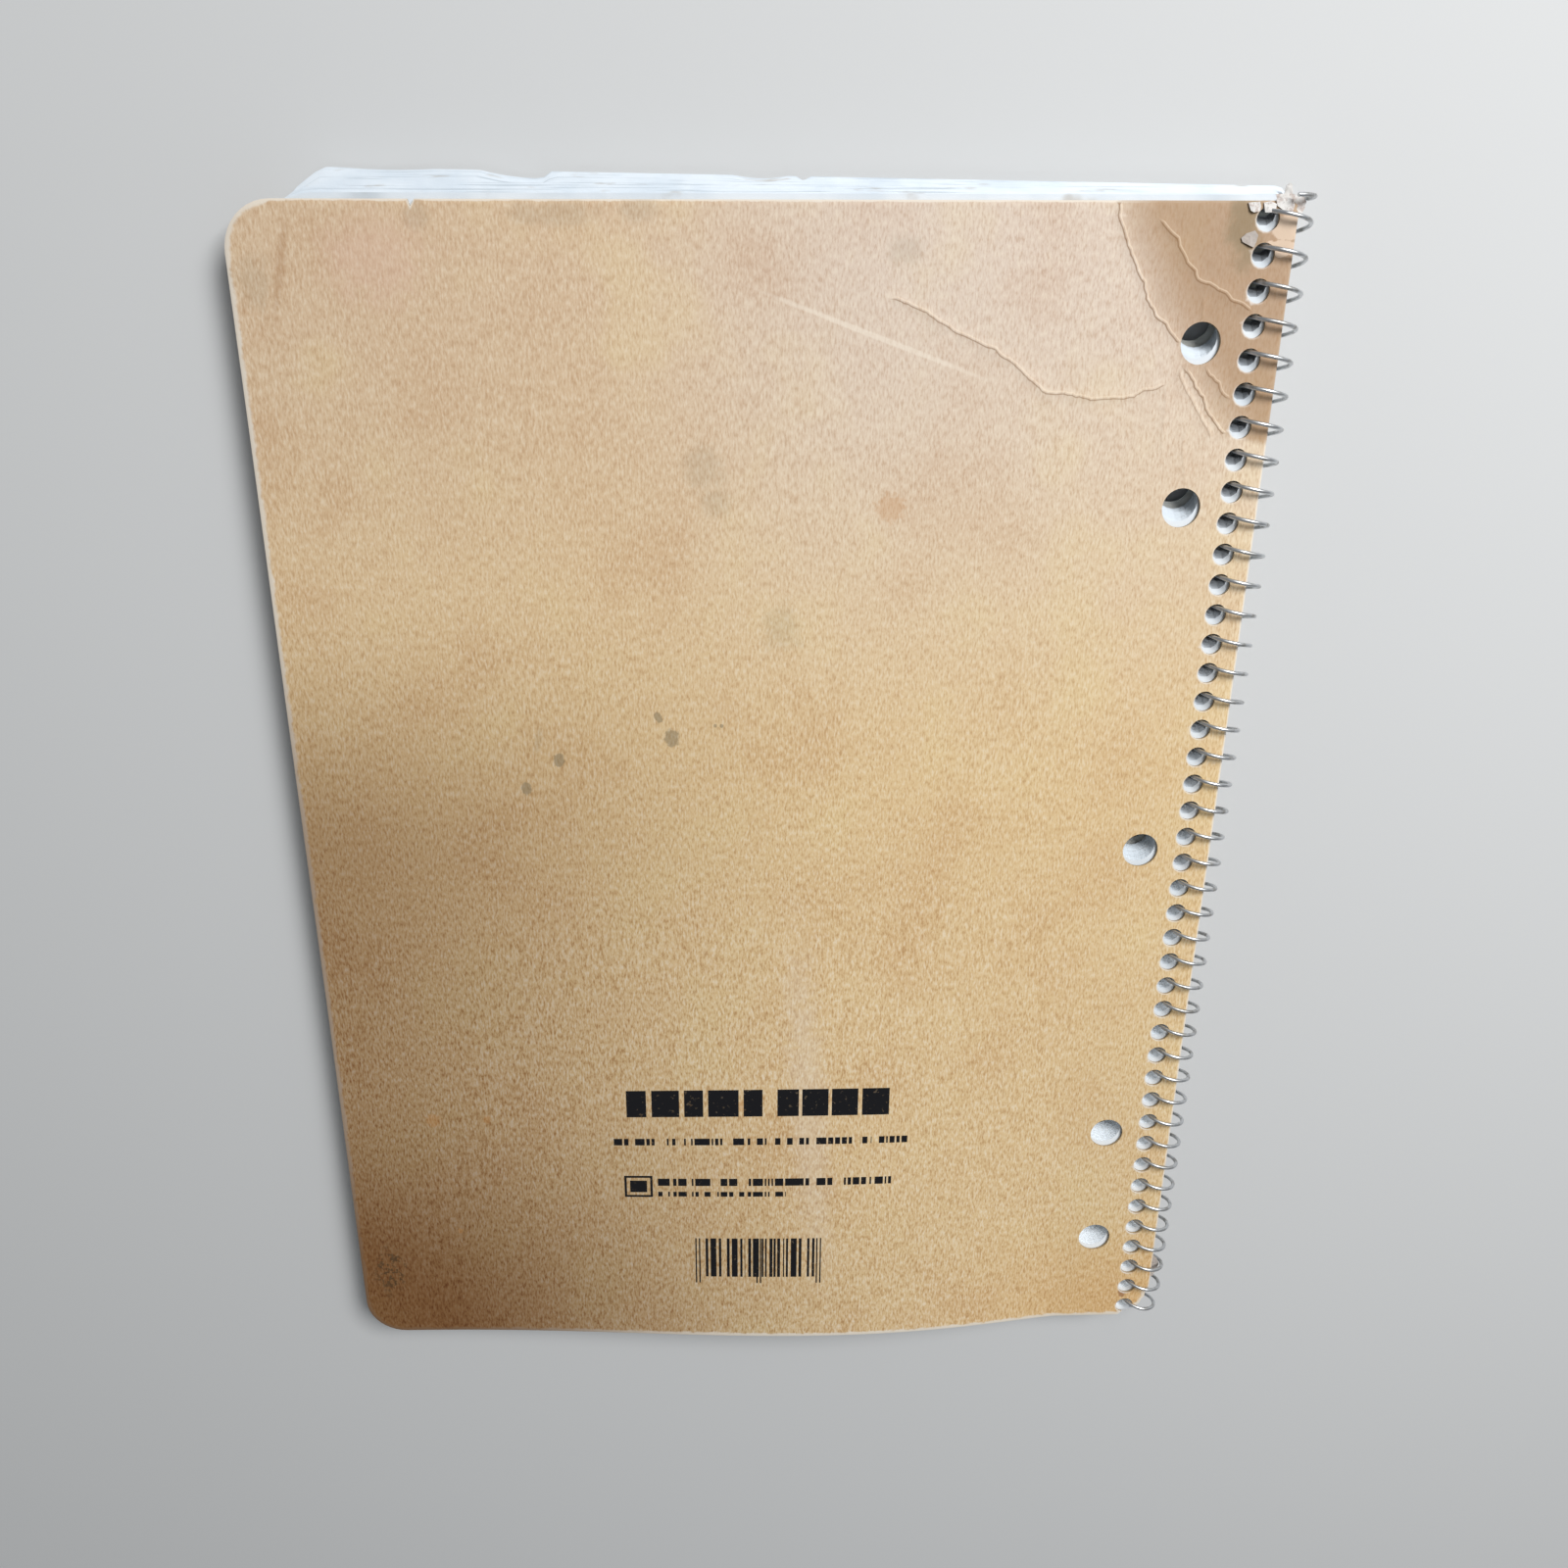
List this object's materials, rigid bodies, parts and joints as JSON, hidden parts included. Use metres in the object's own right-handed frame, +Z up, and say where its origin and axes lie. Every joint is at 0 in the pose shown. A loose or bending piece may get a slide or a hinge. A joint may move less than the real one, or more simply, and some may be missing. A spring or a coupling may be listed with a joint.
{
  "type": "spiral notebook",
  "caption": "Worn side-bound ruled notebook with a wire coil, chipboard back cover, card front cover and holes for a ring binder, lying face down with both covers free to swing open.",
  "frame": {"origin": "on the surface the notebook lies on, under the middle of the notebook's box", "axes": "+X from the fore edge to the coil at the spine, +Y towards the head of the notebook, +Z up, out of the back cover, which is on top"},
  "size_m": [0.2072, 0.273, 0.0134],
  "materials": {
    "chipboard": "matte",
    "paper": "matte",
    "card": "satin",
    "wire": "satin"
  },
  "bodies": {
    "block": {"pages": "paper", "wire_coil": "wire"},
    "back": {"back_cover": "chipboard"},
    "front": {"front_cover": "card"}
  },
  "joints": [
    {"name": "back_cover_hinge", "type": "hinge", "parent": "block", "child": "back", "pos_m": [0.09818, 0, 0.00544], "axis": [0, 1, 0], "range_deg": [0, 180]},
    {"name": "front_cover_hinge", "type": "hinge", "parent": "block", "child": "front", "pos_m": [0.09818, 0, 0.00544], "axis": [0, -1, 0], "range_deg": [0, 180]}
  ]
}
